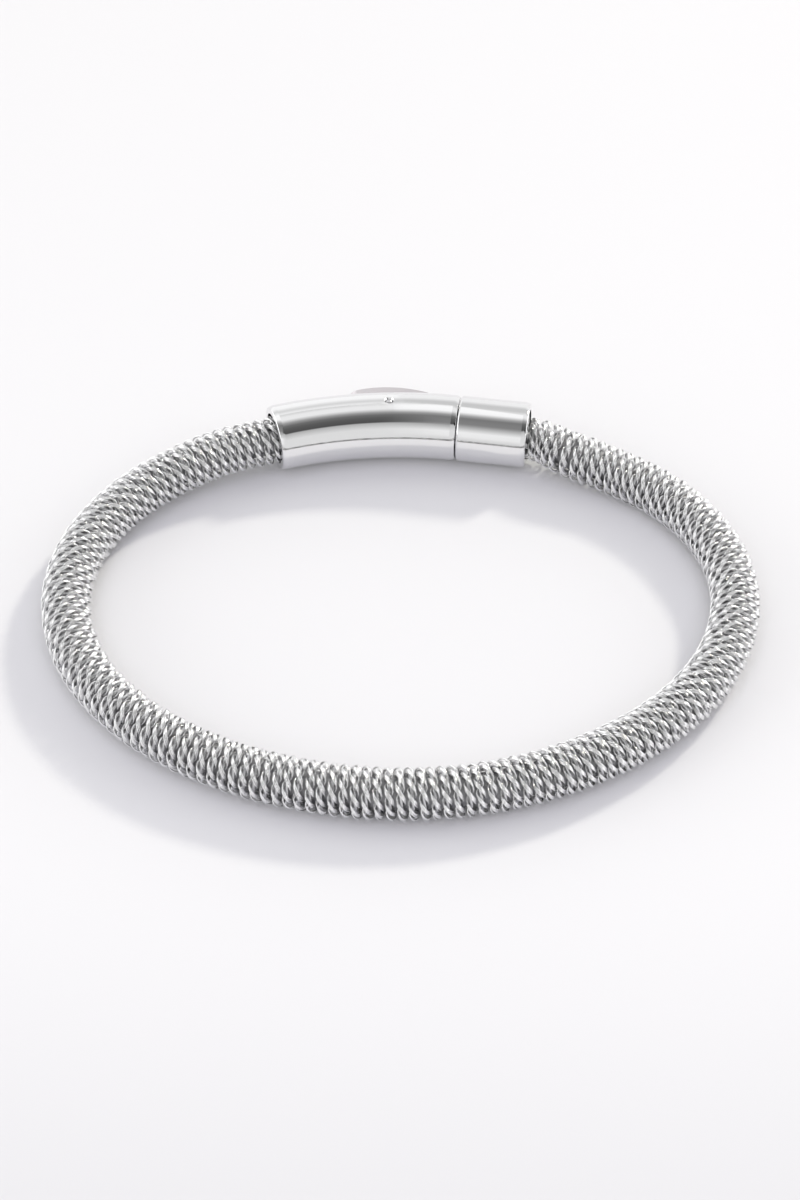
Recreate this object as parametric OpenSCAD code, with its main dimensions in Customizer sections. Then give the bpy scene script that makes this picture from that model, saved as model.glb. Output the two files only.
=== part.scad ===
// Woven steel mesh bracelet, closed by a curved tube clasp with a push lever.
// Millimetres, +Z up. The bracelet lies flat on z = 0 with the clasp at the back (+Y),
// and the middle of its outline is at x = y = 0.

/* [Loop] */
// Mean radius of the line through the middle of the rope
loop_mean_r = 32.9; // [30:0.05:38]
// Changes of that radius that come 2, 3, 4 and 5 times round the loop: cosine parts
loop_cos = [5.15, 0.1, 0.6, 0]; // [-1:0.05:6]
// The same changes: sine parts
loop_sin = [-0.1, 0.4, 0.1, 0.15]; // [-1:0.05:1]

/* [Mesh rope] */
// Outside diameter of the woven rope
rope_d = 5.7; // [5:0.1:5.8]
// How much thinner, as a radius, the rope is where it meets the cap and the housing
rope_neck = [0.3, 0.1]; // [0.05:0.05:0.4]
// Length over which the rope swells from there to its full size
rope_swell_l = 7; // [4:0.5:9]
// Length of rope tucked into each half of the clasp
rope_tuck = 4; // [2:0.1:4.2]
// Length over which the rope turns into the loop: beside the cap, beside the housing
rope_turn_l = [6, 9]; // [3:0.5:15]
// Length over which the rope sinks to the surface: beside the cap, beside the housing
rope_sink_l = [14, 28]; // [5:1:30]
// How far the rope's ends lie off the middles of their holes, towards the wrist: cap, housing
rope_aside = [0.3, 0.1]; // [0:0.05:0.3]
// How far below those middles they lie: cap, housing
rope_below = [0.3, 0.15]; // [0:0.05:0.3]

/* [Clasp] */
// Outside diameter of the clasp
clasp_d = 8; // [7.4:0.1:9]
// Radius that the housing is bent to
clasp_bend_r = 50; // [45:1:70]
// Sideways place of the middle of the bend
clasp_x = -0.2; // [-1:0.1:1]
// How far the clasp lies outside the rope's curve
clasp_out = 0.25; // [0:0.05:0.5]
// Distance from the middle of the bend to the open end of the housing
housing_l = 15.35; // [13:0.05:16]
// Distance from the middle of the bend to the joint with the cap
joint_l = 7.3; // [7:0.1:8]
// Length of the cap
cap_l = 8.5; // [8:0.1:10]
// Gap between housing and cap
joint_gap = 0.1; // [0.05:0.05:0.2]
// Diameter of the holes that the rope sits in
socket_d = 6.2; // [6.2:0.1:6.4]
// Depth of those holes
socket_depth = 4.4; // [4.3:0.1:4.6]
// Length over which the clasp is eased down to its ends, but not on the cap's side of the joint
ease_l = 0.85; // [0.6:0.05:1]
// Radius of that easing, along the clasp
ease_r = 1.85; // [1.6:0.05:1.95]
// Rounding of the edges there
end_round = 0.2; // [0.1:0.05:0.3]
// Rounding of the cap's edge at the joint
joint_round = 0.3; // [0.1:0.05:0.5]

/* [Lever] */
// Width of the lever's pad
pad_w = 3; // [2.6:0.1:3.2]
// Length of the pad on the pressed side of the pin
pad_press_l = 4.9; // [4.5:0.1:5.2]
// Length of the pad on the hook side of the pin
pad_hook_l = 6; // [5.6:0.1:6.2]
// Distance from the clasp's axis to the crest of the pad
pad_crest = 5.6; // [5.2:0.1:5.8]
// Place of the crest beside the pin
pad_crest_x = -0.5; // [-1:0.1:0]
// Radius of the pad's arch from end to end
pad_arch_r = 14; // [12:1:20]
// Radius of the pad's arch from side to side
pad_crown_r = 3; // [2.5:0.1:4]
// Depth of the pad below its crest
pad_t = 2.5; // [2.2:0.1:2.6]
// Running space between the lever and the walls of its pocket
lever_gap = 0.15; // [0.1:0.05:0.2]
// Space at the pressed end, which the lever swings into
swing_gap = 0.65; // [0.6:0.05:0.8]
// Diameter of the pin that the lever rocks on
pin_d = 0.8; // [0.6:0.1:1]
// Distance of the pin from the middle of the bend, towards the open end
pin_l = 1.15; // [1:0.05:1.4]
// Distance of the pin outwards from the clasp's axis
pin_out = 0.2; // [0:0.05:0.4]

/* [Latch] */
// Width of the tongue on the cap
tongue_w = 3; // [2.6:0.1:3.2]
// Thickness of the tongue
tongue_t = 1.8; // [1.5:0.1:1.8]
// Length of the tongue inside the housing
tongue_l = 6.6; // [6:0.1:6.7]
// Length of the tongue's root inside the cap
root_l = 3; // [2:0.1:3.2]
// Depth of the notch that the hook drops into
notch_depth = 0.35; // [0.25:0.05:0.35]
// Length of the hook's tooth
tooth_l = 1.2; // [1:0.1:1.4]

/* [Hidden] */
$fn = 72;

steel_bright = "#d9d9dc";
steel_mesh = "#a9aaad";

cut = 1;              // how far a cutting shape runs past a surface
edge_step = 0.08;     // how far short of a rounding's full length the cut for it stops
ease_proud = 0.012;   // how far the easing's circle stands out of the clasp's side
ease_cross = 0.003;   // how far the edge's rounding lies outside the easing before both are cut

rope_r = rope_d / 2;
rope_sides = 12;
rope_rings = 76;
crowding = 0.6;       // how much closer together the rings are near the clasp
clasp_r = clasp_d / 2;
socket_r = socket_d / 2;

pin_r = pin_d / 2;
pin_fit = 0.02;       // space round the pin in the housing
bore_fit = 0.06;      // space round the pin in the lever
pin_sunk = 0.12;      // how far each pin end lies below the clasp's surface
dimple_depth = 0.25;  // cone that shows as a ring round each pin end
dimple_flare = 0.2;

pad_r = pad_w / 2;
pocket_r = pad_r + lever_gap;
pocket_floor = -1.25; // depth of the pocket, from the clasp's axis
hub_r = 1.2;          // round boss of the lever on the pin
web_w = 2.8;          // block between that boss and the pad
web_l = 2.2;
web_h = pad_crest - pin_out - pad_t / 2;
hook_w = 2.6;

tongue_top = 0.6;     // height of the tongue's outer face over the clasp's axis
channel_gap = 0.12;   // running space round the tongue in the housing
root_gap = 0.05;      // space round the tongue's root in the cap
tooth_play = 0.2;     // space on both sides of the tooth in the notch
tooth_seat = 0.05;    // space between the tooth and the floor of the notch
notch_start = -5.2;   // from the joint
notch_l = tooth_l + 2 * tooth_play;
notch_floor = tongue_top - notch_depth;

// The loop: an oval whose radius follows a short sum of waves.
function wave(k, t) = loop_cos[k] * cos((k + 2) * t) + loop_sin[k] * sin((k + 2) * t);
function loop_r(t) = loop_mean_r + wave(0, t) + wave(1, t) + wave(2, t) + wave(3, t);
function loop_point(t) = loop_r(t) * [cos(t), sin(t)];
back_y = loop_r(90) + clasp_out;

// The clasp's axis: an arc up to the joint, then the cap's straight line.
function turn(s) = s / clasp_bend_r * 180 / PI;
function axis_point(s) = [clasp_x, back_y - clasp_bend_r] + clasp_bend_r * [sin(turn(s)), cos(turn(s))];
function axis_dir(s) = [cos(turn(s)), -sin(turn(s))];
cap_dir = axis_dir(joint_l);
cap_end = axis_point(joint_l) + (joint_gap + cap_l) * cap_dir;
housing_dir = -axis_dir(-housing_l);
housing_end = axis_point(-housing_l);

// Where the rope leaves each end of the clasp, 0 for the cap and 1 for the housing, and which way.
// The wrist is to the right of the way out of the cap and to the left of the way out of the housing.
leave = [
    [cap_end.x + cap_dir.y * rope_aside[0], cap_end.y - cap_dir.x * rope_aside[0], clasp_r - rope_below[0]],
    [
        housing_end.x - housing_dir.y * rope_aside[1],
        housing_end.y + housing_dir.x * rope_aside[1],
        clasp_r - rope_below[1]
    ]
];
leave_dir = [[cap_dir.x, cap_dir.y, 0], [housing_dir.x, housing_dir.y, 0]];
leave_angle = [atan2(cap_end.y, cap_end.x), atan2(housing_end.y, housing_end.x) - 360];

// The rope goes straight on from the clasp and bends into the loop, on the surface.
function smooth(x) = let (c = min(max(x, 0), 1)) c * c * (3 - 2 * c);
function mix(a, b, w) = (1 - w) * a + w * b;
function flat_part(p) = [p.x, p.y];
function nearest(p) = norm(p - flat_part(leave[0])) < norm(p - flat_part(leave[1])) ? 0 : 1;
function free_point(t) =
    let (
        p = loop_point(t),
        end = nearest(p),
        d = norm(p - flat_part(leave[end])),
        straight = leave[end] + d * leave_dir[end],
        flat = mix(flat_part(straight), p, smooth(d / rope_turn_l[end])),
        z = mix(straight.z, rope_r, smooth(d / rope_sink_l[end]))
    ) [flat.x, flat.y, z];
// Places along the rope are closer together near the clasp.
function place(i) = let (u = i / rope_rings) u - crowding * sin(360 * u) / (2 * PI);
rope_path = concat(
    [for (d = [rope_tuck, 0]) leave[0] - d * leave_dir[0]],
    [for (i = [1:rope_rings - 1]) free_point(mix(leave_angle[0], leave_angle[1], place(i)))],
    [for (d = [0, rope_tuck]) leave[1] - d * leave_dir[1]]
);
path_last = len(rope_path) - 1;
function ring_r(i) =
    let (
        end = i > path_last / 2 ? 1 : 0,
        free = i > 1 && i < path_last - 1,
        swell = free ? smooth(norm(rope_path[i] - leave[end]) / rope_swell_l) : 0
    ) rope_r - rope_neck[end] * (1 - swell);

// The whole bracelet is moved so that the middle of its outline is at the origin.
function reach(axis, side) =
    let (v = [for (p = rope_path) side * p[axis]]) side * (max(v) + rope_r);
loop_shift = -[reach(0, 1) + reach(0, -1), back_y + pad_crest + reach(1, -1)] / 2;

// A ring of points round the path, square to the rope's own direction.
function rope_ring(i) =
    let (
        along = rope_path[min(i + 1, path_last)] - rope_path[max(i - 1, 0)],
        dir = along / norm(along),
        flat = cross(dir, [0, 0, 1]),
        side = flat / norm(flat),
        up = cross(side, dir)
    ) [for (k = [0:rope_sides - 1])
        let (a = 360 * k / rope_sides) rope_path[i] + ring_r(i) * (cos(a) * side + sin(a) * up)];

// Two triangles for each field between one ring and the next.
function field(i, k) =
    let (a = i * rope_sides + k, b = i * rope_sides + (k + 1) % rope_sides)
        [[a, b, b + rope_sides], [a, b + rope_sides, a + rope_sides]];

// Sets its children at a place on the clasp's axis: X along it, Y outwards, Z up.
module on_axis(s) {
    translate([clasp_x, back_y - clasp_bend_r, clasp_r])
        rotate([0, 0, -turn(s)])
            translate([0, clasp_bend_r, 0])
                children();
}

// Sets its children at the pin, in the same way.
module at_pin() {
    on_axis(-pin_l) translate([0, pin_out, 0]) children();
}

// A rod bent to the clasp's arc between two places on it.
module bent_rod(r, from, to) {
    translate([clasp_x, back_y - clasp_bend_r, clasp_r])
        rotate([0, 0, 90 - turn(to)])
            rotate_extrude(angle = turn(to - from))
                translate([clasp_bend_r, 0])
                    circle(r);
}

// Half the outline of a straight rod that ends in a rounded edge, from its foot upwards.
module rod_profile(l, r, edge) {
    square([r, l - edge]);
    square([r - edge, l]);
    translate([r - edge, l - edge]) circle(edge);
}

// The ring that comes off a rod's end to leave its edge rounded, for a rod that starts at the
// origin and runs along +X. It stops a little short, so it never lies along the rod's side.
module edge_ring(edge) {
    rotate([90, 0, 90])
        rotate_extrude()
            difference() {
                translate([clasp_r - edge, -cut]) square([edge + cut, edge + cut - edge_step]);
                translate([clasp_r - edge, edge]) circle(edge);
            }
}

// The rings that come off to leave an end eased down and its edge rounded: the large circle
// eases the side and the small one rounds the edge. They cross just inside where they'd touch.
module ease_ring() {
    large = [clasp_r - ease_r + ease_proud, ease_l];
    touch_x = large.x + sqrt(pow(ease_r - end_round, 2) - pow(ease_l - end_round, 2));
    small = [touch_x + ease_cross, end_round];
    rotate([90, 0, 90]) {
        rotate_extrude()
            difference() {
                translate([small.x, -cut]) square([end_round + cut, cut + 0.7 * end_round]);
                translate(small) circle(end_round);
            }
        rotate_extrude()
            difference() {
                translate([large.x, -cut / 2]) square([ease_r + 2 * cut, cut / 2 + ease_l]);
                translate(large) circle(ease_r);
            }
    }
}

// A straight rod along +X with both edges rounded.
module round_rod(l, r, near_edge, far_edge) {
    rotate([90, 0, 90])
        rotate_extrude() {
            translate([0, l / 2]) rod_profile(l / 2, r, far_edge);
            translate([0, l / 2]) mirror([0, 1]) rod_profile(l / 2, r, near_edge);
        }
}

// An oval hole or block through the lever's pad: length along X, depth along Y.
module oval_block(from, to, r, low, high) {
    translate([from + r, low, -r]) cube([to - from - 2 * r, high - low, 2 * r]);
    for (x = [from + r, to - r])
        translate([x, low, 0]) rotate([-90, 0, 0]) cylinder(r = r, h = high - low);
}

module rope_body() {
    rings = len(rope_path);
    points = [for (i = [0:rings - 1]) each rope_ring(i)];
    walls = [for (i = [0:rings - 2]) for (k = [0:rope_sides - 1]) each field(i, k)];
    first = [[for (k = [rope_sides - 1:-1:0]) k]];
    last = [[for (k = [0:rope_sides - 1]) (rings - 1) * rope_sides + k]];
    polyhedron(points, concat(walls, first, last), convexity = 4);
}

// The pocket that the lever rocks in, open on the outside of the clasp.
module lever_pocket() {
    on_axis(-pin_l)
        oval_block(
            -pad_press_l - swing_gap, pad_hook_l + lever_gap, pocket_r, pocket_floor, clasp_r + cut
        );
}

// A flat bar with the tongue's section, larger all round by a gap, between two places on X.
module tongue_bar(from, to, gap) {
    translate([from, tongue_top - tongue_t - gap, -tongue_w / 2 - gap])
        cube([to - from, tongue_t + 2 * gap, tongue_w + 2 * gap]);
}

// The channel that the cap's tongue slides into.
module tongue_channel() {
    on_axis(joint_l) tongue_bar(-tongue_l - 2 * channel_gap, cut, channel_gap);
}

// The bore for the pin, with a shallow cone where it comes out at the top and bottom.
module pin_bore() {
    at_pin() {
        cylinder(r = pin_r + pin_fit, h = clasp_d + cut, center = true);
        for (side = [0, 1])
            mirror([0, 0, side])
                translate([0, 0, clasp_r - dimple_depth])
                    cylinder(r1 = pin_r, r2 = pin_r + dimple_flare, h = dimple_depth);
    }
}

module clasp_housing() {
    color(steel_bright)
        translate(loop_shift)
            difference() {
                bent_rod(clasp_r, -housing_l, joint_l);
                on_axis(-housing_l) ease_ring();
                on_axis(joint_l) rotate([0, 0, 180]) ease_ring();
                on_axis(-housing_l) translate([-cut, 0, 0]) rotate([0, 90, 0])
                    cylinder(r = socket_r, h = socket_depth + cut);
                lever_pocket();
                tongue_channel();
                pin_bore();
            }
}

module clasp_cap() {
    color(steel_bright)
        translate(loop_shift)
            on_axis(joint_l)
                translate([joint_gap, 0, 0])
                    difference() {
                        rotate([0, 90, 0]) cylinder(r = clasp_r, h = cap_l);
                        edge_ring(joint_round);
                        translate([cap_l, 0, 0]) rotate([0, 0, 180]) ease_ring();
                        translate([cap_l - socket_depth, 0, 0]) rotate([0, 90, 0])
                            cylinder(r = socket_r, h = socket_depth + cut);
                        tongue_bar(-cut, root_l + root_gap, root_gap);
                    }
}

module latch_tongue() {
    color(steel_bright)
        translate(loop_shift)
            on_axis(joint_l)
                difference() {
                    tongue_bar(-tongue_l, joint_gap + root_l, 0);
                    translate([notch_start, notch_floor, -tongue_w])
                        cube([notch_l, notch_depth + cut, 2 * tongue_w]);
                }
}

// The pad: an oval block under a face that is arched along it and across it.
module lever_pad() {
    intersection() {
        oval_block(-pad_press_l, pad_hook_l, pad_r, pad_crest - pad_t, pad_crest + cut);
        translate([pad_crest_x, pad_crest - pad_arch_r, 0])
            rotate_extrude()
                union() {
                    translate([pad_arch_r - pad_crown_r, 0]) circle(pad_crown_r);
                    translate([cut, -pad_crown_r])
                        square([pad_arch_r - pad_crown_r - cut, 2 * pad_crown_r]);
                }
    }
}

// The arm that drops from the pad into the tongue's notch.
module lever_hook() {
    on_axis(joint_l)
        translate([notch_start + tooth_play, notch_floor + tooth_seat, -hook_w / 2])
            cube([tooth_l, clasp_r - tongue_top, hook_w]);
}

module push_lever() {
    color(steel_bright)
        translate(loop_shift)
            difference() {
                union() {
                    on_axis(-pin_l) lever_pad();
                    lever_hook();
                    at_pin() cylinder(r = hub_r, h = web_w, center = true);
                    at_pin() translate([-web_l / 2, 0, -web_w / 2]) cube([web_l, web_h, web_w]);
                }
                at_pin() cylinder(r = pin_r + bore_fit, h = clasp_d, center = true);
            }
}

module lever_pin() {
    color(steel_mesh)
        translate(loop_shift)
            at_pin()
                rotate([0, -90, 0])
                    translate([-(clasp_r - pin_sunk), 0, 0])
                        round_rod(clasp_d - 2 * pin_sunk, pin_r, pin_r / 2, pin_r / 2);
}

module mesh_rope() {
    color(steel_mesh) translate(loop_shift) rope_body();
}

mesh_rope();
clasp_housing();
clasp_cap();
latch_tongue();
push_lever();
lever_pin();
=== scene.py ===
"""Woven steel mesh bracelet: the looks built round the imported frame, in metres."""

import logging
import math
from dataclasses import dataclass, field
from enum import Enum
from typing import NamedTuple

import bpy
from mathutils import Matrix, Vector

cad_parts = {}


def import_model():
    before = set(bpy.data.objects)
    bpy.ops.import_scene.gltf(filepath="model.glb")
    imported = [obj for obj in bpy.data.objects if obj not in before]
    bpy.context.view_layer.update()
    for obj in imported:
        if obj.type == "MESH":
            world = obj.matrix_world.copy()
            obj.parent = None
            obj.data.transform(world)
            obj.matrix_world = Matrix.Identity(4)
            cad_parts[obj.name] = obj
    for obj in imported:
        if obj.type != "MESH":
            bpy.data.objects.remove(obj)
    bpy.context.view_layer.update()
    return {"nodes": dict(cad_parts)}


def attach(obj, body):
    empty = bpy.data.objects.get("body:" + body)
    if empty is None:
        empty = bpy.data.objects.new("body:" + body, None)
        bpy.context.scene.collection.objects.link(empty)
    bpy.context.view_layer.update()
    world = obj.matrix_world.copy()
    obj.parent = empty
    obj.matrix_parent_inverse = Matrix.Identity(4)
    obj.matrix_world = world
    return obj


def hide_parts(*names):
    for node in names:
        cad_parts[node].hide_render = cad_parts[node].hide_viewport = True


MM = 0.001
FULL_TURN = 2.0 * math.pi
LOG = logging.getLogger("bracelet")

Colour = tuple[float, float, float]
SocketValue = float | tuple[float, ...] | bpy.types.Material | bpy.types.NodeSocket
TreeValues = dict[str, float | bpy.types.Material]


# Centre-line of the bracelet


@dataclass(frozen=True)
class ClaspAxis:
    """The axis of the tube clasp: an arc up to the joint, then the cap's straight line (mm).

    Lengths along it start at the middle of the bend.
    """

    bend_r: float = 50.0
    middle_x: float = -0.2  # sideways place of the middle of the bend
    out: float = 0.25  # how far the axis lies outside the rope's loop
    tube_r: float = 4.0
    housing_l: float = 15.35  # to the end of the housing that takes the rope
    joint_l: float = 7.3  # the other way, to the joint with the cap
    joint_gap: float = 0.1
    cap_l: float = 8.5
    lever_crest: float = 5.6  # how far the lever reaches out from the axis

    def direction(self, s: float) -> Vector:
        """Direction of the axis at a place on it, towards the cap."""
        turn = s / self.bend_r
        return Vector((math.cos(turn), -math.sin(turn), 0.0))

    def point(self, s: float, back_y: float) -> Vector:
        """Finds a point of the axis.

        Args:
            s: Distance from the middle of the bend, towards the cap.
            back_y: Furthest reach of the arc.

        Returns:
            The point, at the height of the axis.
        """
        turn = s / self.bend_r
        x = self.middle_x + self.bend_r * math.sin(turn)
        return Vector((x, back_y - self.bend_r * (1.0 - math.cos(turn)), self.tube_r))


@dataclass(frozen=True)
class RopeLine:
    """The line through the middle of the rope, from the cap round to the housing (mm).

    A pair of numbers is for the rope's end in the cap and its end in the housing.
    """

    clasp: ClaspAxis = ClaspAxis()
    mean_r: float = 32.9  # mean radius of the loop
    cos_waves: tuple[float, ...] = (5.15, 0.1, 0.6, 0.0)  # waves on it, 2, 3, 4 and 5 in a turn
    sin_waves: tuple[float, ...] = (-0.1, 0.4, 0.1, 0.15)
    rope_r: float = 2.85
    neck: tuple[float, float] = (0.3, 0.1)  # how much thinner the rope is in the clasp
    swell_l: float = 7.0  # length over which it swells to its full size
    turn_l: tuple[float, float] = (6.0, 9.0)  # length over which it turns into the loop
    sink_l: tuple[float, float] = (14.0, 28.0)  # length over which it sinks to the floor
    aside: tuple[float, float] = (0.3, 0.1)  # how far its end lies to the wrist's side
    below: tuple[float, float] = (0.3, 0.15)  # how far its end lies below the clasp's axis
    tuck: float = 2.6  # length of the wires inside each half of the clasp
    steps: int = 900

    def loop_r(self, t: float) -> float:
        """Distance of the loop from its middle at a polar angle in radians."""
        waves = enumerate(zip(self.cos_waves, self.sin_waves), start=2)
        return self.mean_r + sum(c * math.cos(k * t) + s * math.sin(k * t) for k, (c, s) in waves)

    @property
    def back_y(self) -> float:
        """Furthest reach of the clasp's axis."""
        return self.loop_r(math.pi / 2) + self.clasp.out

    def exits(self) -> list[tuple[Vector, Vector]]:
        """Finds where the rope leaves the clasp.

        Returns:
            The point and the way out of the clasp, first for the cap, then for the housing.
        """
        axis = self.clasp
        cap_way = axis.direction(axis.joint_l)
        cap_end = axis.point(axis.joint_l, self.back_y) + (axis.joint_gap + axis.cap_l) * cap_way
        housing_way = -axis.direction(-axis.housing_l)
        housing_end = axis.point(-axis.housing_l, self.back_y)
        ends = ((cap_end, cap_way, 1), (housing_end, housing_way, -1))
        found = []
        for (point, way, side), aside, below in zip(ends, self.aside, self.below):
            inward = side * Vector((way.y, -way.x, 0.0)) * aside
            found.append((point + inward - Vector((0.0, 0.0, below)), way))
        return found

    def free_point(self, t: float) -> tuple[Vector, float]:
        """Finds a point of the rope outside the clasp.

        Args:
            t: Polar angle of the loop in radians.

        Returns:
            The point and the rope's radius there.
        """
        loop = self.loop_r(t) * Vector((math.cos(t), math.sin(t)))
        ends = self.exits()
        near = min((0, 1), key=lambda e: (loop - ends[e][0].xy).length)
        start, way = ends[near]
        gone = (loop - start.xy).length
        straight = start + gone * way
        flat = straight.xy.lerp(loop, smooth(gone / self.turn_l[near]))
        z = straight.z + (self.rope_r - straight.z) * smooth(gone / self.sink_l[near])
        radius = self.rope_r - self.neck[near] * (1.0 - smooth(gone / self.swell_l))
        return Vector((flat.x, flat.y, z)), radius

    def stations(self) -> tuple[list[Vector], list[float]]:
        """Finds points along the whole rope.

        Returns:
            The points and the rope's radius at each, in metres.
        """
        (start, start_way), (stop, stop_way) = self.exits()
        first = math.atan2(start.y, start.x)
        last = math.atan2(stop.y, stop.x) - FULL_TURN
        start_r, stop_r = (self.rope_r - neck for neck in self.neck)
        points = [(start - self.tuck * start_way, start_r), (start, start_r)]
        for i in range(1, self.steps):
            points.append(self.free_point(first + (last - first) * i / self.steps))
        points += [(stop, stop_r), (stop - self.tuck * stop_way, stop_r)]
        middle = self.outline_middle([p for p, _ in points])
        return [(p - middle) * MM for p, _ in points], [r * MM for _, r in points]

    def outline_middle(self, points: list[Vector]) -> Vector:
        """Middle of the bracelet's outline seen from above, which the frame has at its origin.

        Args:
            points: Points along the whole rope, before the loop is moved.

        Returns:
            The middle, at height 0.
        """
        across = max(p.x for p in points) + min(p.x for p in points)
        front = min(p.y for p in points) - self.rope_r
        back = self.back_y + self.clasp.lever_crest
        return Vector((across, front + back, 0.0)) / 2.0


def smooth(x: float) -> float:
    """Smooth step from 0 to 1."""
    c = min(max(x, 0.0), 1.0)
    return c * c * (3.0 - 2.0 * c)


# Small helpers for objects and node trees


def add_object(name: str, data: bpy.types.ID) -> bpy.types.Object:
    """Puts a new object into the scene.

    Args:
        name: Name of the object.
        data: The mesh, curve, light or camera that it shows.

    Returns:
        The object, at the origin.
    """
    made = bpy.data.objects.new(name, data)
    bpy.context.scene.collection.objects.link(made)
    return made


class Easing(Enum):
    """How a number goes from one end of a range to the other."""

    STRAIGHT = "LINEAR"
    SMOOTH = "SMOOTHSTEP"


@dataclass
class TreeBuilder:
    """Adds nodes to a tree and joins them, with sockets or plain values as inputs."""

    tree: bpy.types.NodeTree

    def node(
        self,
        kind: str,
        inputs: dict[str | int, SocketValue] | None = None,
        **settings: str,
    ) -> bpy.types.Node:
        """Adds one node.

        Args:
            kind: Blender's name for the node type.
            inputs: Socket name or index to a socket to link from, or a value.
            **settings: Properties set on the node first.

        Returns:
            The node.
        """
        made = self.tree.nodes.new(kind)
        for name, value in settings.items():
            setattr(made, name, value)
        for key, value in (inputs or {}).items():
            if isinstance(value, bpy.types.NodeSocket):
                self.tree.links.new(value, made.inputs[key])
            else:
                made.inputs[key].default_value = value
        return made

    def math(self, operation: str, *values: SocketValue) -> bpy.types.NodeSocket:
        """Result of a Math node on one to three values."""
        return self.node("ShaderNodeMath", dict(enumerate(values)), operation=operation).outputs[0]

    def vector(self, operation: str, *values: SocketValue) -> bpy.types.NodeSocket:
        """Vector result of a Vector Math node."""
        made = self.node("ShaderNodeVectorMath", dict(enumerate(values)), operation=operation)
        return made.outputs["Vector"]

    def scaled(self, vector: bpy.types.NodeSocket, factor: SocketValue) -> bpy.types.NodeSocket:
        """A vector times a number."""
        made = self.node("ShaderNodeVectorMath", {0: vector, "Scale": factor}, operation="SCALE")
        return made.outputs["Vector"]

    def joined(self, x: SocketValue, y: SocketValue, z: SocketValue) -> bpy.types.NodeSocket:
        """A vector made of three numbers."""
        return self.node("ShaderNodeCombineXYZ", {0: x, 1: y, 2: z}).outputs[0]

    def apart(self, vector: bpy.types.NodeSocket) -> tuple[bpy.types.NodeSocket, ...]:
        """The three numbers that a vector is made of."""
        return tuple(self.node("ShaderNodeSeparateXYZ", {0: vector}).outputs)

    def stray(
        self,
        along: SocketValue,
        rate: float,
        seed: SocketValue,
        detail: float,
    ) -> bpy.types.NodeSocket:
        """Makes a number that wanders evenly to both sides of 0 along a line.

        Args:
            along: Place on the line.
            rate: Number of changes for each unit of it.
            seed: Place on the noise where the line starts.
            detail: Levels of finer noise.

        Returns:
            The number, from about -0.5 to 0.5.
        """
        place = self.math("ADD", self.math("MULTIPLY", along, rate), seed)
        inputs = {"W": place, "Scale": 1.0, "Detail": detail}
        noise = self.node("ShaderNodeTexNoise", inputs, noise_dimensions="1D")
        return self.math("SUBTRACT", noise.outputs[0], 0.5)

    def ranged(
        self,
        value: SocketValue,
        source: tuple[float, float],
        target: tuple[float, float],
        easing: Easing = Easing.STRAIGHT,
    ) -> bpy.types.NodeSocket:
        """Takes a number from one range to another.

        Args:
            value: The number.
            source: Where the first range starts and stops.
            target: The result at its start and at its stop, and beyond them.
            easing: How the result changes between them.

        Returns:
            The result.
        """
        inputs = {
            "Value": value,
            "From Min": source[0],
            "From Max": source[1],
            "To Min": target[0],
            "To Max": target[1],
        }
        return self.node("ShaderNodeMapRange", inputs, interpolation_type=easing.value).outputs[0]

    def step(self, value: SocketValue, start: float, stop: float) -> bpy.types.NodeSocket:
        """Smooth step of a number from 0 at one place to 1 at another."""
        return self.ranged(value, (start, stop), (0.0, 1.0), Easing.SMOOTH)

    def blend(self, factor: SocketValue, low: SocketValue, high: SocketValue) -> bpy.types.NodeSocket:
        """Mix of two numbers, which the node takes in its sockets 2 and 3."""
        return self.node("ShaderNodeMix", {0: factor, 2: low, 3: high}).outputs[0]

    def blend_colours(self, factor: SocketValue, low: Colour, high: Colour) -> bpy.types.NodeSocket:
        """Mix of two colours, which the node takes in its sockets 6 and 7."""
        inputs = {0: factor, 6: (*low, 1.0), 7: (*high, 1.0)}
        return self.node("ShaderNodeMix", inputs, data_type="RGBA").outputs[2]


class Socket(Enum):
    """Kinds of input that a geometry tree takes."""

    GEOMETRY = "NodeSocketGeometry"
    NUMBER = "NodeSocketFloat"
    COUNT = "NodeSocketInt"
    MATERIAL = "NodeSocketMaterial"

    @classmethod
    def holding(cls, value: float | bpy.types.Material) -> "Socket":
        """Finds the kind of input that holds a value.

        Args:
            value: A material, a whole number or another number.

        Returns:
            The kind.
        """
        if isinstance(value, bpy.types.Material):
            return cls.MATERIAL
        return cls.COUNT if isinstance(value, int) else cls.NUMBER


def new_geometry_tree(
    name: str,
    line: str,
    values: TreeValues,
) -> tuple[TreeBuilder, bpy.types.bpy_prop_collection]:
    """Starts a geometry tree with named inputs and one geometry output.

    Args:
        name: Name of the tree.
        line: Name of the input for the geometry that the tree reads.
        values: Name of each other input and its default value.

    Returns:
        The builder and the sockets that give the inputs inside the tree.
    """
    tree = bpy.data.node_groups.new(name, "GeometryNodeTree")
    tree.interface.new_socket(line, in_out="INPUT", socket_type=Socket.GEOMETRY.value)
    for label, value in values.items():
        kind = Socket.holding(value).value
        tree.interface.new_socket(label, in_out="INPUT", socket_type=kind).default_value = value
    tree.interface.new_socket("Geometry", in_out="OUTPUT", socket_type=Socket.GEOMETRY.value)
    return TreeBuilder(tree), tree.nodes.new("NodeGroupInput").outputs


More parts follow.
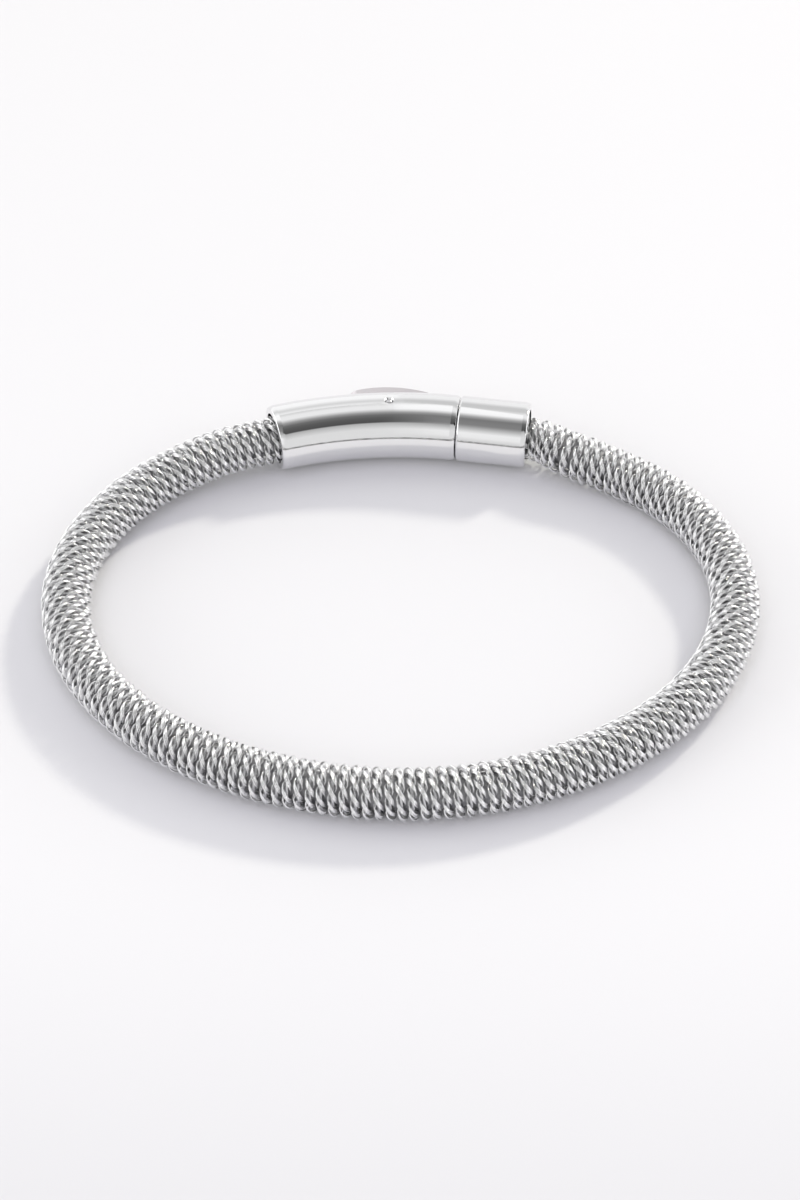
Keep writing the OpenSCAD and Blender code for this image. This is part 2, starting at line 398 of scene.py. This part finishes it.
def finish_as_tube(
    build: TreeBuilder,
    curve: bpy.types.NodeSocket,
    sides: bpy.types.NodeSocket,
    radius: SocketValue,
    material: bpy.types.NodeSocket,
    scale: SocketValue = 1.0,
) -> None:
    """Ends a tree in a closed round tube along a curve, with its material.

    Args:
        build: The tree to end.
        curve: The line through the middle of the tube.
        sides: Number of sides of the tube.
        radius: Radius of the tube.
        material: The tube's material.
        scale: What the radius is multiplied by along the curve.
    """
    ring = build.node("GeometryNodeCurvePrimitiveCircle", {"Resolution": sides, "Radius": radius})
    tube = build.node(
        "GeometryNodeCurveToMesh",
        {"Curve": curve, "Profile Curve": ring.outputs[0], "Scale": scale, "Fill Caps": True},
    )
    rounded = build.node("GeometryNodeSetShadeSmooth", {"Geometry": tube.outputs[0]})
    real = build.node("GeometryNodeRealizeInstances", {0: rounded.outputs[0]})
    dressed = build.node("GeometryNodeSetMaterial", {"Geometry": real.outputs[0], "Material": material})
    build.node("NodeGroupOutput", {0: dressed.outputs[0]})


def grow(
    name: str,
    carrier: bpy.types.Object,
    tree: bpy.types.NodeTree,
    values: TreeValues,
) -> bpy.types.Object:
    """Runs a geometry tree on a carrier and keeps the result as a plain mesh object.

    Args:
        name: Name of the new object.
        carrier: Object that the tree reads.
        tree: The geometry tree.
        values: Input name to value.

    Returns:
        The new object, at the origin.
    """
    modifier = carrier.modifiers.new("grow", "NODES")
    modifier.node_group = tree
    identifiers = {s.name: s.identifier for s in tree.interface.items_tree if s.in_out == "INPUT"}
    for label, value in values.items():
        modifier[identifiers[label]] = value
    evaluated = carrier.evaluated_get(bpy.context.evaluated_depsgraph_get())
    mesh = bpy.data.meshes.new_from_object(evaluated)
    carrier.modifiers.remove(modifier)
    mesh.name = name
    return add_object(name, mesh)


# Finishes


@dataclass(frozen=True)
class SteelFinish:
    """A bare steel surface with fine procedural unevenness."""

    name: str
    colour: Colour
    roughness: float
    roughness_spread: float
    grain_scale: float
    bump_strength: float
    bump_mm: float
    shade_spread: float  # how far the grain lightens and darkens the colour, as a share of it
    grain_detail: float = 5.0
    grain_roughness: float = 0.6
    grain_range: tuple[float, float] = (0.3, 0.7)  # where nearly all of the noise lies

    def material(self) -> bpy.types.Material:
        """Makes the material, on Object coordinates.

        Returns:
            The material.
        """
        made = bpy.data.materials.new(self.name)
        made.use_nodes = True
        build = TreeBuilder(made.node_tree)
        shader = made.node_tree.nodes["Principled BSDF"]
        grain = build.node(
            "ShaderNodeTexNoise",
            {
                "Vector": build.node("ShaderNodeTexCoord").outputs["Object"],
                "Scale": self.grain_scale,
                "Detail": self.grain_detail,
                "Roughness": self.grain_roughness,
            },
        ).outputs[0]
        smoothest = self.roughness - self.roughness_spread
        roughest = self.roughness + self.roughness_spread
        darker = tuple(c * (1.0 - self.shade_spread) for c in self.colour)
        lighter = tuple(min(1.0, c * (1.0 + self.shade_spread)) for c in self.colour)
        bump = build.node(
            "ShaderNodeBump",
            {"Height": grain, "Strength": self.bump_strength, "Distance": self.bump_mm * MM},
        )
        links = made.node_tree.links
        links.new(build.ranged(grain, self.grain_range, (smoothest, roughest)), shader.inputs["Roughness"])
        links.new(build.blend_colours(grain, darker, lighter), shader.inputs["Base Color"])
        links.new(bump.outputs[0], shader.inputs["Normal"])
        shader.inputs["Metallic"].default_value = 1.0
        return made


POLISHED_STEEL = SteelFinish(
    name="polished_steel_look",
    colour=(0.82, 0.82, 0.825),
    roughness=0.045,
    roughness_spread=0.015,
    grain_scale=900.0,
    bump_strength=0.03,
    bump_mm=0.005,
    shade_spread=0.015,
)
LEVER_STEEL = SteelFinish(
    name="lever_steel_look",
    colour=(0.8, 0.76, 0.78),
    roughness=0.12,
    roughness_spread=0.03,
    grain_scale=900.0,
    bump_strength=0.05,
    bump_mm=0.01,
    shade_spread=0.02,
)
WIRE_STEEL = SteelFinish(
    name="wire_steel_look",
    colour=(0.95, 0.95, 0.955),
    roughness=0.12,
    roughness_spread=0.04,
    grain_scale=2600.0,
    bump_strength=0.2,
    bump_mm=0.02,
    shade_spread=0.08,
)
FILLER_STEEL = SteelFinish(
    name="filler_steel_look",
    colour=(0.7, 0.7, 0.71),
    roughness=0.3,
    roughness_spread=0.08,
    grain_scale=2600.0,
    bump_strength=0.3,
    bump_mm=0.02,
    shade_spread=0.12,
)
INNER_STEEL = SteelFinish(
    name="inner_steel_look",
    colour=(0.62, 0.62, 0.64),
    roughness=0.32,
    roughness_spread=0.08,
    grain_scale=1800.0,
    bump_strength=0.3,
    bump_mm=0.02,
    shade_spread=0.08,
)
# painted shade: the tube inside the wires is dark so that the gaps in the weave show shade
PAINTED_SHADE_CORE = SteelFinish(
    name="painted_shade_core_look",
    colour=(0.4, 0.4, 0.41),
    roughness=0.55,
    roughness_spread=0.1,
    grain_scale=1500.0,
    bump_strength=0.4,
    bump_mm=0.03,
    shade_spread=0.2,
)


# The woven rope


class RopeSection(NamedTuple):
    """The rope beside one point of a wire: its middle, its radius and two directions."""

    middle: bpy.types.NodeSocket
    radius: bpy.types.NodeSocket
    tangent: bpy.types.NodeSocket
    outward: bpy.types.NodeSocket


@dataclass
class MeshRope:
    """The woven rope: a loose cord of two plies, wound closely round a core tube whose dark colour is painted
    shade.

    Each ply is a flat bundle of thin wires. Seen from outside, the plies cross over each other
    in turn, and each crossing is one leaf of the weave. A duller strand in the middle of the cord
    fills the eyes between the wires.
    """

    line: RopeLine = field(default_factory=RopeLine)
    wound_pitch_mm: float = 1.2  # from one turn of the cord to the next
    leaves_per_turn: float = 9.4
    loose_turns: float = 15.0  # turns beside the housing whose twist is looser
    loose_leaves_per_turn: float = 8.9
    plies: int = 2
    ridge_half_width_mm: float = 0.47  # how far the wires swing to each side of the cord's line
    ridge_half_height_mm: float = 0.46  # how far they swing out and in
    straightness: float = 0.88  # 1 makes the swing to the sides a zigzag
    flatness: float = 0.9  # the more, the longer the wires stay at the top and the bottom
    proud_mm: float = 0.1  # how far the cord stands out of the plain tube
    wires_per_ply: int = 3
    wire_step: float = 0.48  # angle in the twist from one wire of a ply to the next, in radians
    wire_r_mm: float = 0.078
    wire_sides: int = 6
    steps_per_turn: int = 72
    filler_r_mm: float = 0.2
    filler_sunk_mm: float = 0.15  # how much deeper the filler lies than the cord's middle
    filler_steps_per_turn: int = 36
    drift: float = 3.2  # how far the twist wanders, in radians
    drift_rate: float = 0.9  # changes of it in a turn of the cord
    drift_detail: float = 2.0
    wander_mm: float = 0.225  # how far the whole cord wanders along the rope
    wander_rate: float = 2.6
    wander_detail: float = 1.0
    waver_mm: float = 0.125  # how far each wire wavers by itself
    waver_rate: float = 9.0
    waver_phase_rate: float = 5.0  # how fast that changes from wire to wire
    waver_detail: float = 1.0
    seed: float = 3.0
    core_depth_mm: float = 1.1  # from the plain tube's surface to the core's
    core_steps: int = 420
    core_sides: int = 24

    def carrier(self, points: list[Vector], radii: list[float]) -> bpy.types.Object:
        """Draws the rope's line as an open curve whose radius is the rope's radius.

        Args:
            points: Points along the rope.
            radii: Radius of the rope at each.

        Returns:
            The curve's object, which only carries the trees.
        """
        curve = bpy.data.curves.new("rope_line", "CURVE")
        curve.dimensions = "3D"
        spline = curve.splines.new("POLY")
        spline.points.add(len(points) - 1)
        for place, point, radius in zip(spline.points, points, radii):
            place.co = (*point, 1.0)
            place.radius = radius
        return add_object("rope_line", curve)

    def wire_values(self, turns: float) -> TreeValues:
        """Says what the inputs of the wire tree are for the middle wire of the first ply.

        Args:
            turns: Number of turns of the cord round the rope.

        Returns:
            Input name to value.
        """
        return {
            "Turns": turns,
            "Twists per turn": self.leaves_per_turn / self.plies,
            "Loose turns": self.loose_turns,
            "Loose twists per turn": self.loose_leaves_per_turn / self.plies,
            "Steps": int(turns * self.steps_per_turn),
            "Ridge half width": self.ridge_half_width_mm * MM,
            "Ridge half height": self.ridge_half_height_mm * MM,
            "Straightness": self.straightness,
            "Flatness": self.flatness,
            "Wire radius": self.wire_r_mm * MM,
            "Wire sides": self.wire_sides,
            "Phase": 0.0,
            "Proud": self.proud_mm * MM,
            "Drift": self.drift,
            "Wander": self.wander_mm * MM,
            "Waver": self.waver_mm * MM,
            "Seed": self.seed,
            "Finish": WIRE_STEEL.material(),
        }

    def filler_values(self, turns: float) -> TreeValues:
        """Says which of those inputs differ for the strand in the middle of the cord.

        Args:
            turns: Number of turns of the cord round the rope.

        Returns:
            Input name to value.
        """
        cord_half_height = self.ridge_half_height_mm + self.wire_r_mm
        sunk = cord_half_height - self.filler_r_mm + self.filler_sunk_mm
        return {
            "Steps": int(turns * self.filler_steps_per_turn),
            "Ridge half width": 0.0,
            "Ridge half height": 0.0,
            "Wire radius": self.filler_r_mm * MM,
            "Proud": (self.proud_mm - sunk) * MM,
            "Finish": FILLER_STEEL.material(),
        }

    def section(
        self,
        build: TreeBuilder,
        line: bpy.types.NodeSocket,
        along: bpy.types.NodeSocket,
        turns: bpy.types.NodeSocket,
    ) -> RopeSection:
        """Finds the rope at a place along it, and the way out to its surface at a turn round it.

        Args:
            build: The tree to add to.
            line: The rope's line.
            along: Place on the line, as a share of its length.
            turns: Turns round the rope from its start.

        Returns:
            The rope's section there.
        """
        radius = build.node("GeometryNodeInputRadius").outputs[0]
        sample = build.node(
            "GeometryNodeSampleCurve",
            {"Curves": line, "Factor": along, "Value": radius},
            mode="FACTOR",
        )
        tangent = sample.outputs["Tangent"]
        side = build.vector("NORMALIZE", build.vector("CROSS_PRODUCT", tangent, (0.0, 0.0, 1.0)))
        up = build.vector("CROSS_PRODUCT", side, tangent)
        turn = build.math("MULTIPLY", turns, -FULL_TURN)
        aside = build.scaled(side, build.math("COSINE", turn))
        above = build.scaled(up, build.math("SINE", turn))
        outward = build.vector("ADD", aside, above)
        return RopeSection(sample.outputs["Position"], sample.outputs["Value"], tangent, outward)

    def twist(
        self,
        build: TreeBuilder,
        take: bpy.types.bpy_prop_collection,
        turns: bpy.types.NodeSocket,
    ) -> bpy.types.NodeSocket:
        """Finds a wire's angle in the twist, which eases in the last turns and drifts a little.

        Args:
            build: The tree to add to.
            take: The tree's inputs.
            turns: Turns round the rope from its start.

        Returns:
            The angle in radians.
        """
        first_loose = build.math("SUBTRACT", take["Turns"], take["Loose turns"])
        loose = build.math("MAXIMUM", build.math("SUBTRACT", turns, first_loose), 0.0)
        lost = build.math("SUBTRACT", take["Twists per turn"], take["Loose twists per turn"])
        tight_twists = build.math("MULTIPLY", turns, take["Twists per turn"])
        twists = build.math("SUBTRACT", tight_twists, build.math("MULTIPLY", loose, lost))
        stray = build.stray(turns, self.drift_rate, take["Seed"], self.drift_detail)
        drift = build.math("MULTIPLY", stray, take["Drift"])
        angle = build.math("ADD", build.math("MULTIPLY", twists, FULL_TURN), drift)
        return build.math("ADD", angle, take["Phase"])

    def wavering(
        self,
        build: TreeBuilder,
        take: bpy.types.bpy_prop_collection,
        turns: bpy.types.NodeSocket,
    ) -> bpy.types.NodeSocket:
        """Makes the small moves by which each wire wavers by itself.

        Args:
            build: The tree to add to.
            take: The tree's inputs.
            turns: Turns round the rope from its start.

        Returns:
            The move.
        """
        along = build.math("MULTIPLY", turns, self.waver_rate)
        across = build.math("MULTIPLY", take["Phase"], self.waver_phase_rate)
        place = build.joined(along, across, take["Seed"])
        inputs = {"Vector": place, "Scale": 1.0, "Detail": self.waver_detail}
        noise = build.node("ShaderNodeTexNoise", inputs)
        spread = build.vector("SUBTRACT", noise.outputs["Color"], (0.5, 0.5, 0.5))
        return build.scaled(spread, take["Waver"])

    def wire_tree(self, values: TreeValues) -> bpy.types.NodeTree:
        """Makes the tree that winds one wire of the cord round the rope's line.

        Args:
            values: Name of each input and its default value.

        Returns:
            The tree.
        """
        build, take = new_geometry_tree("wound_wire", "Rope line", values)
        dots = build.node("GeometryNodeMeshLine", {"Count": take["Steps"]}, mode="OFFSET")
        index = build.node("GeometryNodeInputIndex").outputs[0]
        along = build.math("DIVIDE", index, build.math("SUBTRACT", take["Steps"], 1.0))
        turns = build.math("MULTIPLY", along, take["Turns"])
        rope = self.section(build, take["Rope line"], along, turns)
        angle = self.twist(build, take, turns)

        depth = build.math("ADD", take["Ridge half height"], take["Wire radius"])
        level = build.math("SUBTRACT", build.math("ADD", rope.radius, take["Proud"]), depth)
        flat = build.math("ARCTANGENT", build.math("MULTIPLY", build.math("COSINE", angle), take["Flatness"]))
        height = build.math("DIVIDE", take["Ridge half height"], build.math("ARCTANGENT", take["Flatness"]))
        out = build.math("ADD", level, build.math("MULTIPLY", flat, height))

        even = build.math("ARCSINE", build.math("MULTIPLY", build.math("SINE", angle), take["Straightness"]))
        width = build.math("DIVIDE", take["Ridge half width"], build.math("ARCSINE", take["Straightness"]))
        stray = build.stray(turns, self.wander_rate, take["Seed"], self.wander_detail)
        wander = build.math("MULTIPLY", stray, take["Wander"])
        sway = build.math("ADD", build.math("MULTIPLY", even, width), wander)

        middle = build.vector("ADD", rope.middle, self.wavering(build, take, turns))
        swing = build.vector("ADD", build.scaled(rope.outward, out), build.scaled(rope.tangent, sway))
        x, y, z = build.apart(build.vector("ADD", middle, swing))
        resting = build.joined(x, y, build.math("MAXIMUM", z, take["Wire radius"]))
        moved = build.node("GeometryNodeSetPosition", {"Geometry": dots.outputs[0], "Position": resting})
        wire = build.node("GeometryNodeMeshToCurve", {"Mesh": moved.outputs[0]})
        finish_as_tube(build, wire.outputs[0], take["Wire sides"], take["Wire radius"], take["Finish"])
        return build.tree

    def core_tree(self, values: TreeValues) -> bpy.types.NodeTree:
        """Makes the tree for the tube inside the wires, whose dark colour is painted shade seen through the
        gaps.

        Args:
            values: Name of each input and its default value.

        Returns:
            The tree.
        """
        build, take = new_geometry_tree("inner_tube", "Rope line", values)
        even = build.node("GeometryNodeResampleCurve", {"Curve": take["Rope line"], "Count": take["Steps"]})
        radius = build.node("GeometryNodeInputRadius").outputs[0]
        core_r = build.math("SUBTRACT", radius, take["Depth"])
        finish_as_tube(build, even.outputs[0], take["Sides"], 1.0, take["Finish"], scale=core_r)
        return build.tree

    def build(self) -> list[bpy.types.Object]:
        """Builds the wires of both plies, the filler and the core, in place of the plain tube.

        Returns:
            The finished pieces.
        """
        points, radii = self.line.stations()
        length_mm = sum((b - a).length for a, b in zip(points, points[1:])) / MM
        turns = length_mm / self.wound_pitch_mm
        LOG.info("rope line %.1f mm long, cord wound %.1f times round it", length_mm, turns)
        carrier = self.carrier(points, radii)
        wire = self.wire_values(turns)
        tree = self.wire_tree(wire)
        pieces = []
        middle = (self.wires_per_ply - 1) / 2
        for number in range(self.plies * self.wires_per_ply):
            ply, place = divmod(number, self.wires_per_ply)
            phase = ply * FULL_TURN / self.plies + (place - middle) * self.wire_step
            pieces.append(grow(f"woven_wire_{number + 1}", carrier, tree, {**wire, "Phase": phase}))
        pieces.append(grow("cord_middle", carrier, tree, {**wire, **self.filler_values(turns)}))
        core = {
            "Depth": self.core_depth_mm * MM,
            "Steps": self.core_steps,
            "Sides": self.core_sides,
            "Finish": PAINTED_SHADE_CORE.material(),
        }
        pieces.append(grow("rope_core", carrier, self.core_tree(core), core))
        curve = carrier.data
        bpy.data.objects.remove(carrier)
        bpy.data.curves.remove(curve)
        for piece in pieces:
            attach(piece, "bracelet")
            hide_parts("mesh_rope")
        return pieces


# The clasp


@dataclass
class TubeClasp:
    """The polished tube clasp, whose solids come from the frame."""

    nodes: dict[str, bpy.types.Object]

    def dress(self) -> list[bpy.types.Object]:
        """Gives the clasp's solids their finishes.

        Returns:
            The dressed solids.
        """
        polished = POLISHED_STEEL.material()
        inner = INNER_STEEL.material()
        looks = {
            "clasp_housing": polished,
            "clasp_cap": polished,
            "push_lever": LEVER_STEEL.material(),
            "latch_tongue": inner,
            "lever_pin": inner,
        }
        for name, look in looks.items():
            for slot in self.nodes[name].material_slots:
                slot.material = look
        return [self.nodes[name] for name in looks]


# The studio


@dataclass(frozen=True)
class PaleFloor:
    """A wide matt floor under the bracelet, with painted shade that darkens it a little towards the camera
    (metres).
    """

    size: float = 6.0
    shade: float = 0.72
    painted_shade_share: float = 0.83  # the floor's shade in front, darkened by painted shade, as a share of the rest
    painted_shade_y: tuple[float, float] = (-0.03, -0.11)  # where the painted shade starts to darken the floor and where it stops
    coolness: float = 1.01  # blue of the painted shade in front, as a share of its red
    light_share: float = 1.01  # the shade of the lightest places, as a share of the plain shade
    cloud_share: float = 0.1  # part of the shade's change that soft clouds make
    cloud_scale: float = 3.0
    cloud_detail: float = 1.0
    roughness: float = 0.7
    specular: float = 0.2

    def material(self) -> bpy.types.Material:
        """Makes the floor's matt finish with its painted shade in front, on Object coordinates.

        Returns:
            The material.
        """
        matt = bpy.data.materials.new("pale_floor")
        matt.use_nodes = True
        build = TreeBuilder(matt.node_tree)
        shader = matt.node_tree.nodes["Principled BSDF"]
        place = build.node("ShaderNodeTexCoord").outputs["Object"]
        inputs = {"Vector": place, "Scale": self.cloud_scale, "Detail": self.cloud_detail}
        cloud = build.node("ShaderNodeTexNoise", inputs).outputs[0]
        y = build.apart(place)[1]
        # painted shade: the floor darkens and turns a little bluer towards the camera
        back = build.math("SUBTRACT", 1.0, build.step(y, *self.painted_shade_y))
        plain = build.math("MULTIPLY", back, 1.0 - self.cloud_share)
        lit = build.math("ADD", plain, build.math("MULTIPLY", cloud, self.cloud_share))
        front = self.shade * self.painted_shade_share
        light = self.shade * self.light_share
        shade = build.blend_colours(lit, (front, front, front * self.coolness), (light, light, light))
        matt.node_tree.links.new(shade, shader.inputs["Base Color"])
        shader.inputs["Roughness"].default_value = self.roughness
        shader.inputs["Specular IOR Level"].default_value = self.specular
        return matt

    def lay(self) -> bpy.types.Object:
        """Lays the floor at height 0.

        Returns:
            The floor.
        """
        mesh = bpy.data.meshes.new("floor")
        half = self.size / 2
        corners = [(-half, -half, 0.0), (half, -half, 0.0), (half, half, 0.0), (-half, half, 0.0)]
        mesh.from_pydata(corners, [], [(0, 1, 2, 3)])
        mesh.materials.append(self.material())
        floor = add_object("floor", mesh)
        return floor


class Stop(NamedTuple):
    """How bright the surround is at one angle over the bracelet, in degrees."""

    angle: float
    brightness: float


@dataclass(frozen=True)
class DarkPanel:
    """A dark panel on the camera's right, which the clasp's rounded right ends mirror (radians)."""

    brightness: float = 0.02
    inner: tuple[float, float] = (0.68, 0.73)  # azimuths between which its near edge fades in
    outer: tuple[float, float] = (1.15, 1.25)  # azimuths between which its far edge fades out
    bottom: tuple[float, float] = (0.26, 0.3)  # angles between which its bottom fades in
    top: tuple[float, float] = (0.95, 1.05)  # angles between which its top fades out
    lean: float = 0.2  # how far its near edge leans outwards for each radian down
    lean_from: float = 0.9  # angle at which that edge lies where inner says

    def cover(
        self,
        build: TreeBuilder,
        azimuth: bpy.types.NodeSocket,
        angle: bpy.types.NodeSocket,
    ) -> bpy.types.NodeSocket:
        """Finds where the panel is.

        Args:
            build: The tree to add to.
            azimuth: Direction round the bracelet, from the camera's towards the right.
            angle: Angle over the bracelet from the front horizon.

        Returns:
            1 on the panel and 0 beside it.
        """
        lean = build.math("MULTIPLY", build.math("SUBTRACT", self.lean_from, angle), self.lean)
        inner = build.step(build.math("SUBTRACT", azimuth, lean), *self.inner)
        outer = build.step(azimuth, *reversed(self.outer))
        bottom = build.step(angle, *self.bottom)
        top = build.step(angle, *reversed(self.top))
        across = build.math("MULTIPLY", inner, outer)
        return build.math("MULTIPLY", across, build.math("MULTIPLY", bottom, top))


@dataclass(frozen=True)
class Surround:
    """A photo tent round the bracelet: what the steel mirrors, by direction.

    How bright it is depends on the angle over the bracelet, from 0 at the front horizon through
    90 overhead to 180 at the back. It differs a little from left to right: the cap and the
    housing's right part mirror the left stops, and the housing's left end mirrors the right ones.
    """

    left: tuple[Stop, ...] = (
        Stop(0, 0.65),
        Stop(17, 0.9),
        Stop(30, 0.93),
        Stop(48, 0.46),
        Stop(60, 0.24),
        Stop(80, 0.2),
        Stop(90, 0.4),
        Stop(103, 1.0),
        Stop(120, 1.05),
        Stop(140, 0.7),
        Stop(158, 1.0),
    )
    right: tuple[Stop, ...] = (
        Stop(0, 0.76),
        Stop(30, 0.76),
        Stop(51, 0.47),
        Stop(54.5, 0.08),
        Stop(70, 0.11),
        Stop(80, 0.16),
        Stop(91, 0.4),
        Stop(103, 0.88),
        Stop(114, 0.88),
        Stop(128, 0.62),
        Stop(142, 0.62),
        Stop(158, 0.92),
    )
    middle: tuple[float, float] = (-0.35, 0.15)  # azimuths between which left gives way to right
    side_brightness: float = 1.85
    side_from: tuple[float, float] = (0.7, 0.9)  # sideways part of the direction where sides fade in
    panel: DarkPanel = DarkPanel()
    strength: float = 1.13

    @staticmethod
    def ramp(
        build: TreeBuilder,
        angle: bpy.types.NodeSocket,
        stops: tuple[Stop, ...],
    ) -> bpy.types.NodeSocket:
        """Finds the brightness at an angle.

        Args:
            build: The tree to add to.
            angle: The angle in radians, from 0 to half a turn.
            stops: The brightness at a few angles, in order.

        Returns:
            The brightness.
        """
        node = build.node("ShaderNodeValToRGB", {0: build.math("DIVIDE", angle, math.pi)})
        elements = node.color_ramp.elements
        while len(elements) < len(stops):
            elements.new(0.5)
        for element, stop in zip(elements, stops):
            element.position = stop.angle / 180.0
            element.color = (stop.brightness, stop.brightness, stop.brightness, 1.0)
        return node.outputs[0]

    def hang(self) -> bpy.types.World:
        """Makes the surround the scene's world.

        Returns:
            The world.
        """
        world = bpy.data.worlds.new("surround")
        world.use_nodes = True
        build = TreeBuilder(world.node_tree)
        sky = world.node_tree.nodes["Background"]
        x, y, z = build.apart(build.node("ShaderNodeTexCoord").outputs["Generated"])
        front = build.math("MULTIPLY", y, -1.0)
        angle = build.math("ARCTAN2", build.math("ABSOLUTE", z), front)
        azimuth = build.math("ARCTAN2", x, front)
        left = self.ramp(build, angle, self.left)
        right = self.ramp(build, angle, self.right)
        strip = build.blend(build.step(azimuth, *self.middle), left, right)
        aside = build.step(build.math("ABSOLUTE", x), *self.side_from)
        tent = build.blend(aside, strip, self.side_brightness)
        panel = self.panel.cover(build, azimuth, angle)
        world.node_tree.links.new(build.blend(panel, tent, self.panel.brightness), sky.inputs[0])
        sky.inputs[1].default_value = self.strength
        bpy.context.scene.world = world
        return world


@dataclass(frozen=True)
class SoftLight:
    """A round light that faces the middle of the floor (watts, metres and degrees)."""

    name: str
    energy: float
    colour: Colour
    size: float
    distance: float
    elevation: float  # above the floor
    azimuth: float  # from straight behind the bracelet, towards the right
    mirrored: bool = True  # whether the steel mirrors it

    def hang(self) -> bpy.types.Object:
        """Hangs the light in its place.

        Returns:
            The light.
        """
        lamp = bpy.data.lights.new(self.name, "AREA")
        lamp.shape = "DISK"
        lamp.size = self.size
        lamp.energy = self.energy
        lamp.color = self.colour
        light = add_object(self.name, lamp)
        up, aside = math.radians(self.elevation), math.radians(self.azimuth)
        flat = math.cos(up)
        way = Vector((math.sin(aside) * flat, math.cos(aside) * flat, math.sin(up)))
        light.location = way * self.distance
        light.rotation_mode = "QUATERNION"
        light.rotation_quaternion = (-way).to_track_quat("-Z", "Y")
        light.visible_glossy = self.mirrored
        return light


@dataclass(frozen=True)
class PhotoCamera:
    """The camera at the photograph's angle, straight in front of the bracelet."""

    aim_mm: tuple[float, float, float] = (-0.136, 1.588, 0.0)
    distance_mm: float = 324.1
    elevation: float = 47.0  # degrees above the floor
    focal_px: float = 2770.0
    frame_px: tuple[int, int] = (800, 1200)
    sensor_mm: float = 36.0  # for the frame's longer side
    nearest: float = 0.01
    furthest: float = 20.0

    def set_up(self) -> bpy.types.Object:
        """Puts the camera in its place and makes it the scene's.

        Returns:
            The camera.
        """
        camera = bpy.data.cameras.new("camera")
        camera.sensor_width = self.sensor_mm
        camera.lens = self.focal_px / max(self.frame_px) * self.sensor_mm
        camera.clip_start = self.nearest
        camera.clip_end = self.furthest
        made = add_object("camera", camera)
        up = math.radians(self.elevation)
        back = Vector((0.0, -math.cos(up), math.sin(up)))
        made.location = (Vector(self.aim_mm) + back * self.distance_mm) * MM
        made.rotation_mode = "QUATERNION"
        made.rotation_quaternion = (-back).to_track_quat("-Z", "Y")
        bpy.context.scene.camera = made
        return made


@dataclass(frozen=True)
class Studio:
    """A pale floor, a bright surround, a key light from behind, a weak fill and the camera."""

    floor: PaleFloor = PaleFloor()
    surround: Surround = Surround()
    key: SoftLight = SoftLight(
        name="key",
        energy=19.8,
        colour=(1.0, 0.97, 0.87),
        size=0.24,
        distance=2.0,
        elevation=32.4,
        azimuth=41.5,
    )
    fill: SoftLight = SoftLight(
        name="fill",
        energy=5.0,
        colour=(0.88, 0.85, 1.0),
        size=1.2,
        distance=1.00623,
        elevation=63.435,
        azimuth=180.0,
        mirrored=False,
    )
    camera: PhotoCamera = PhotoCamera()

    def build(self) -> None:
        """Sets up the whole studio."""
        self.floor.lay()
        self.surround.hang()
        self.key.hang()
        self.fill.hang()
        self.camera.set_up()
        bpy.context.scene.view_settings.view_transform = "Standard"


def main() -> None:
    """Builds the studio, the rope and the clasp."""
    logging.basicConfig(level=logging.INFO, format="%(name)s: %(message)s")
    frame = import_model()
    Studio().build()
    for piece in MeshRope().build():
        LOG.info("%s: %d faces", piece.name, len(piece.data.polygons))
    for piece in TubeClasp(frame["nodes"]).dress():
        LOG.info("%s dressed", piece.name)


if __name__ == "__main__":
    main()
